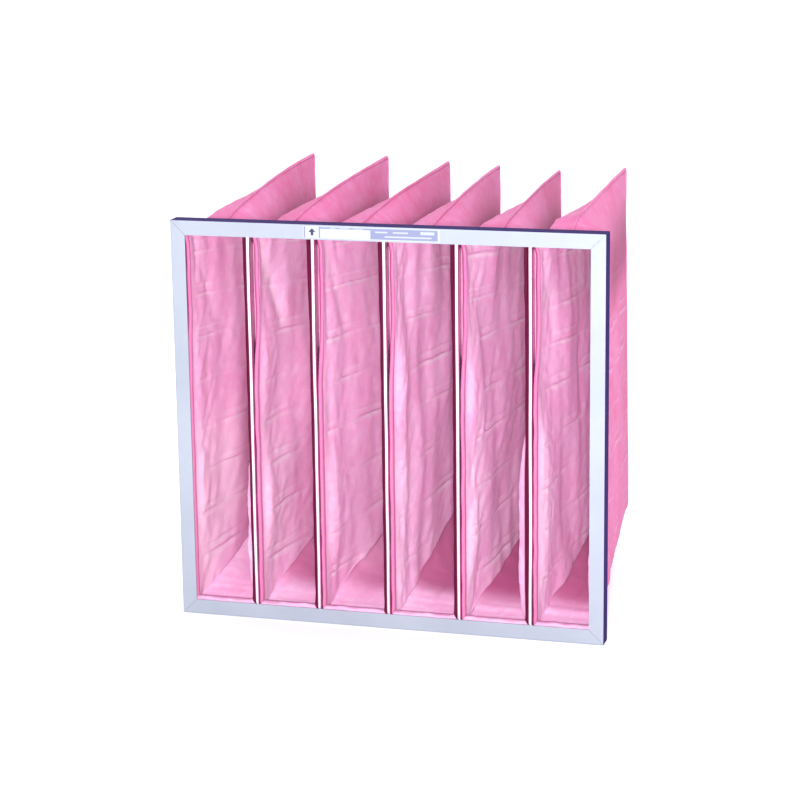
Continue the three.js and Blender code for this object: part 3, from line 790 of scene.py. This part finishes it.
# Bright steel, a little cloudy and spangled, with painted dark pink shade and reflection on the
# rims and a painted pink reflection of the felt on the legs, where the steel is less metal
def steelMaterial(name, colour, rough):
    material, shader, place = newMaterial(name, Metallic=1.0)
    settings = {"Vector": place, "Scale": steel["spangleScale"]}
    spangle = place.node("ShaderNodeTexVoronoi", None, settings, "Distance")
    clouds = place.noise(steel["cloudScale"], 3.0)
    flank = place.attribute("flank")
    base = clouds.between(0.3, 0.7).mix(tuple(v * steel["cloudShade"] for v in colour), colour)
    # Painted shade and reflection on the rims, and painted pink reflection on the legs
    base = flank.between(0.0, 1.0).mix(base, steel["rim"])
    feed(shader, "Base Color", flank.between(1.0, 2.0).mix(base, steel["leg"]))
    feed(shader, "Metallic", 1.0 - flank.between(0.0, 1.0) * steel["flankPaintShare"])
    feed(shader, "Roughness", rough + spangle * steel["spangleRough"] + clouds * steel["cloudRough"])
    feed(shader, "Normal", clouds.bump(*steel["cloudBump"]))
    return material


# Fields of the label as [left, right, lower, upper], in shares of its width and height
label = {
    "paper": (0.33, 0.36, 0.45), "block": (0.14, 0.155, 0.26), "pale": (0.29, 0.31, 0.42),
    "ink": (0.01, 0.01, 0.035), "blocks": [(0.50, 0.985, 0.06, 0.94), (0.125, 0.50, 0.80, 0.94)],
    "rules": [(0.53, 0.62, 0.60, 0.72), (0.66, 0.77, 0.60, 0.72), (0.60, 0.94, 0.24, 0.36),
              (0.86, 0.96, 0.56, 0.80), (0.20, 0.24, 0.84, 0.90), (0.27, 0.34, 0.84, 0.90),
              (0.37, 0.44, 0.84, 0.90)],
    "frames": [(0.005, 0.015, 0.04, 0.96), (0.115, 0.125, 0.04, 0.96), (0.495, 0.50, 0.06, 0.94)],
    "shaft": (0.055, 0.075, 0.22, 0.55), "head": (0.0, 0.12, 0.5, 0.82), "headSlope": 0.085,
}


# The label: a square with an air flow arrow, a bare field, and a grey-blue block with bare lines
def labelMaterial():
    material, shader, place = newMaterial("label_paper", Roughness=0.55)
    low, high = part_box("label")
    x = (place.axis("X") - low[0]) * (1 / (high[0] - low[0]))
    z = (place.axis("Z") - low[2]) * (1 / (high[2] - low[2]))

    def field(x0, x1, z0, z1):
        inX = x.maths("GREATER_THAN", x, x0) * x.maths("LESS_THAN", x, x1)
        return inX * z.maths("GREATER_THAN", z, z0) * z.maths("LESS_THAN", z, z1)

    wide, narrow = (field(*edges) for edges in label["blocks"])
    colour = (wide + narrow).mix(label["paper"], label["block"])
    for kind, tone in (("rules", "pale"), ("frames", "block")):
        for edges in label[kind]:
            colour = field(*edges).mix(colour, label[tone])
    shaft = field(*label["shaft"])
    middle, tip = (label["shaft"][0] + label["shaft"][1]) / 2, label["head"][3]
    head = x.maths("LESS_THAN", x.maths("ABSOLUTE", x - middle), (tip - z) * label["headSlope"])
    head = head * field(*label["head"])
    colour = shaft.maths("MAXIMUM", shaft, head).mix(colour, label["ink"])
    feed(shader, "Base Color", colour)
    feed(shader, "Normal", place.noise(900.0, 3.0).bump(0.1, 0.0002))
    return material


# The camera's angles are in degrees, its distance and shifts in metres and its lens in millimetres
view = {"azimuth": 16.0367, "elevation": 13.3560, "roll": -0.7484, "distance": 3.24397, "shiftX": 0.015586,
        "shiftY": 0.309489, "lens": 107.678}


# The camera stands at distance along its own back direction from the header's front, moved within its
# own plane
def makeCamera():
    a, e, r = (math.radians(view[key]) for key in ("azimuth", "elevation", "roll"))
    back = Vector((math.sin(a) * math.cos(e), -math.cos(a) * math.cos(e), math.sin(e)))
    level = Vector((math.cos(a), math.sin(a), 0))
    upright = back.cross(level)
    right = level * math.cos(r) + upright * math.sin(r)
    up = upright * math.cos(r) - level * math.sin(r)
    place = back * view["distance"] + right * view["shiftX"] + up * view["shiftY"] + Vector((0, frontY, 0))
    camera = bpy.data.objects.new("camera", bpy.data.cameras.new("camera"))
    camera.data.lens = view["lens"]
    camera.data.sensor_width = 36.0
    camera.data.clip_end = 100.0
    turn = Matrix((right, up, back)).transposed().to_4x4()
    camera.matrix_world = Matrix.Translation(place) @ turn
    bpy.context.scene.collection.objects.link(camera)
    bpy.context.scene.camera = camera


def makeLight(name, place, aim, size, power):
    lamp = bpy.data.lights.new(name, "AREA")
    lamp.size, lamp.energy = size, power
    item = bpy.data.objects.new(name, lamp)
    item.location = place
    item.rotation_euler = (Vector(aim) - Vector(place)).to_track_quat("-Z", "Y").to_euler()
    bpy.context.scene.collection.objects.link(item)


studio = {
    "span": 30.0, "floor": [(0.90, 0.90, 0.90), (0.92, 0.92, 0.92)], "sky": (0.95, 0.97, 1.0),
    "front": 0.76, "behind": 1.4, "behindFrom": (-0.35, 0.5),
    "key": (0.95, -3.8, 1.02), "aim": (0.08, 0, 0.28), "size": 0.3, "power": 226,
}


# A pale floor, a soft sky that is brighter behind the filter, and one lamp near the camera that
# reaches into the pockets
def makeStudio():
    span = studio["span"]
    corners = np.array([(-span, -span, 0), (span, -span, 0), (span, span, 0), (-span, span, 0)])
    floor = meshPiece("floor", corners, [[0, 1, 2, 3]])
    material, shader, place = newMaterial("pale_floor", Roughness=0.9)
    feed(shader, "Base Color", place.noise(3.0).mix(*studio["floor"]))
    floor.data.materials.append(material)
    world = bpy.data.worlds.new("studio")
    world.use_nodes = True
    sky = world.node_tree.nodes["Background"]
    sky.inputs["Color"].default_value = (*studio["sky"], 1)
    towards = Wire(world.node_tree, world.node_tree.nodes.new("ShaderNodeTexCoord").outputs["Generated"])
    behind = towards.axis("Y").between(*studio["behindFrom"])
    feed(sky, "Strength", studio["front"] + behind * studio["behind"])
    bpy.context.scene.world = world
    makeLight("key", studio["key"], studio["aim"], studio["size"], studio["power"])
    bpy.context.scene.view_settings.view_transform = "Standard"


def dress(name, material):
    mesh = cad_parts[name].data
    mesh.materials.clear()
    mesh.materials.append(material)


makeCamera()
makeStudio()
print("camera and studio")

# Two copies of the felt: the inner one is painted paler, as painted light
cloth = [feltMaterial("pink_felt", felt["outside"]), feltMaterial("pink_felt_inside", felt["inside"])]
for pocket in range(6):
    piece, middle, ridges = makePocket(pocket, cloth)
    seam = makeSeam(pocket, middle, ridges, cloth[0])
    for item in (piece, seam):
        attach(item, "root")
    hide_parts(f"pocket_{pocket + 1}")
print("pockets")

bright = steelMaterial("bright_strip", (0.96, 0.94, 0.97), 0.12)
zinc = steelMaterial("zinc_strip", (0.70, 0.71, 0.74), 0.34)
for number in range(5):
    piece = makeDivider(number, bright)
    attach(piece, "root")
    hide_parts(f"divider_{number + 1}")
print("dividers")

metal = headerMaterial()
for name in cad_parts:
    if name.startswith("header_"):
        dress(name, metal)
    elif name.startswith(("corner_key", "hem_clip", "side_clip")):
        dress(name, zinc)
dress("label", labelMaterial())
print("header and clips")
